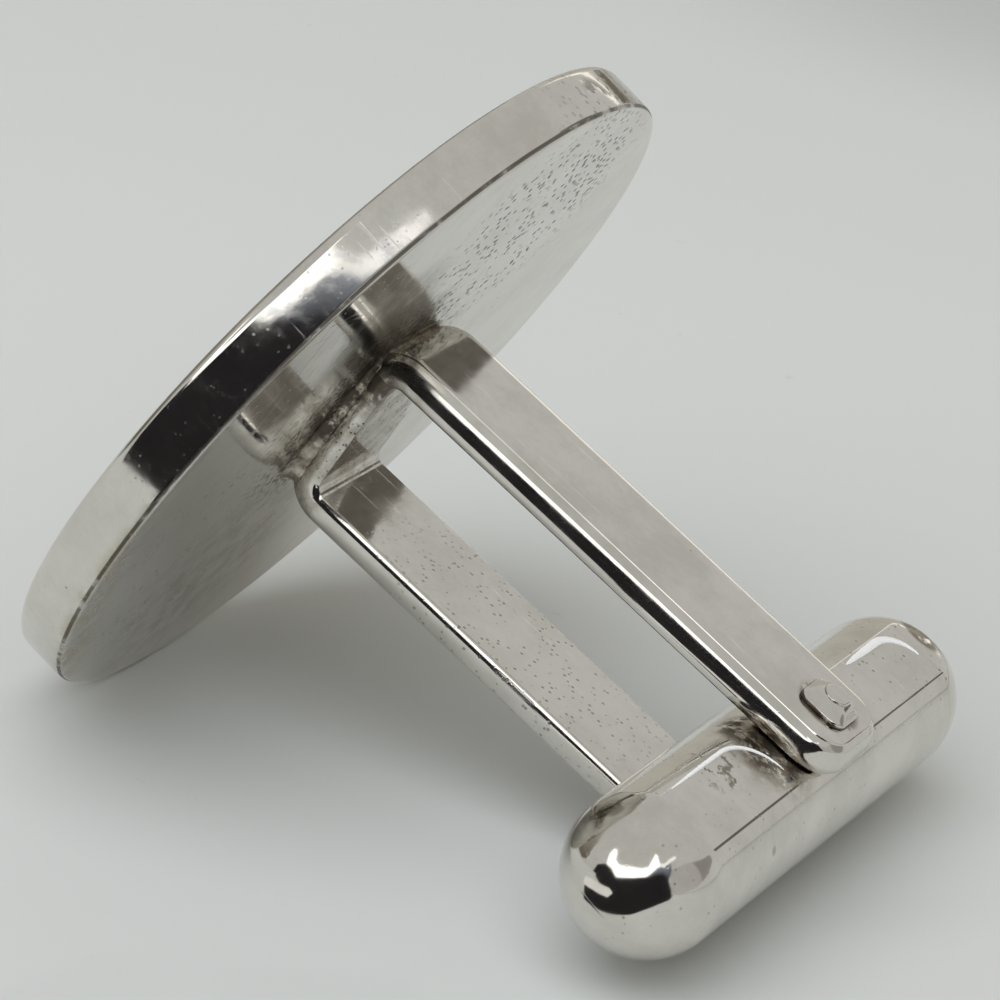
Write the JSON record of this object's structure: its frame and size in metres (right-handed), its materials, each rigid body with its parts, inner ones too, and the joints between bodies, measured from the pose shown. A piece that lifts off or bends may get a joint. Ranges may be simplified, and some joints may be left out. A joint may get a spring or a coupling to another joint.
{
  "type": "swivel-back cufflink",
  "caption": "Round flat cufflink: a plain inlaid face, a U-shaped post frame soldered to its back and a bullet toggle that swivels on a riveted pin.",
  "frame": {"origin": "middle of the face's front, on the plane of its rim", "axes": "+Z from the face's front towards the toggle, +X along the toggle's pin, +Y along the toggle in its closed cross-wise position"},
  "size_m": [0.0208, 0.0208, 0.0179],
  "materials": {
    "plated_face": "nickel-coloured plate, polished and worn, with fine pits on the back",
    "polished_inlay": "plain satin metal",
    "clear_adhesive": "cured resin film",
    "plated_strip": "polished strip with rounded outer edges",
    "solder": "dull, darkened silver solder",
    "pin_metal": "peened and polished",
    "plated_toggle": "mirror polish with light wear",
    "spring_steel": "blued spring strip"
  },
  "bodies": {
    "cufflink": {"face_plate": "plated_face", "face_inlay": "polished_inlay", "inlay_adhesive": "clear_adhesive", "post_frame": "plated_strip", "solder_fillet": "solder", "pivot_pin": "pin_metal"},
    "toggle": {"toggle_body": "plated_toggle", "toggle_plug": "plated_toggle", "detent_spring": "spring_steel"}
  },
  "joints": [
    {"name": "toggle_swivel", "type": "hinge", "parent": "cufflink", "child": "toggle", "pos_m": [-0.00074, 0, 0.01578], "axis": [0.9986, 0, 0.0523], "range_deg": [-90, 90]}
  ]
}
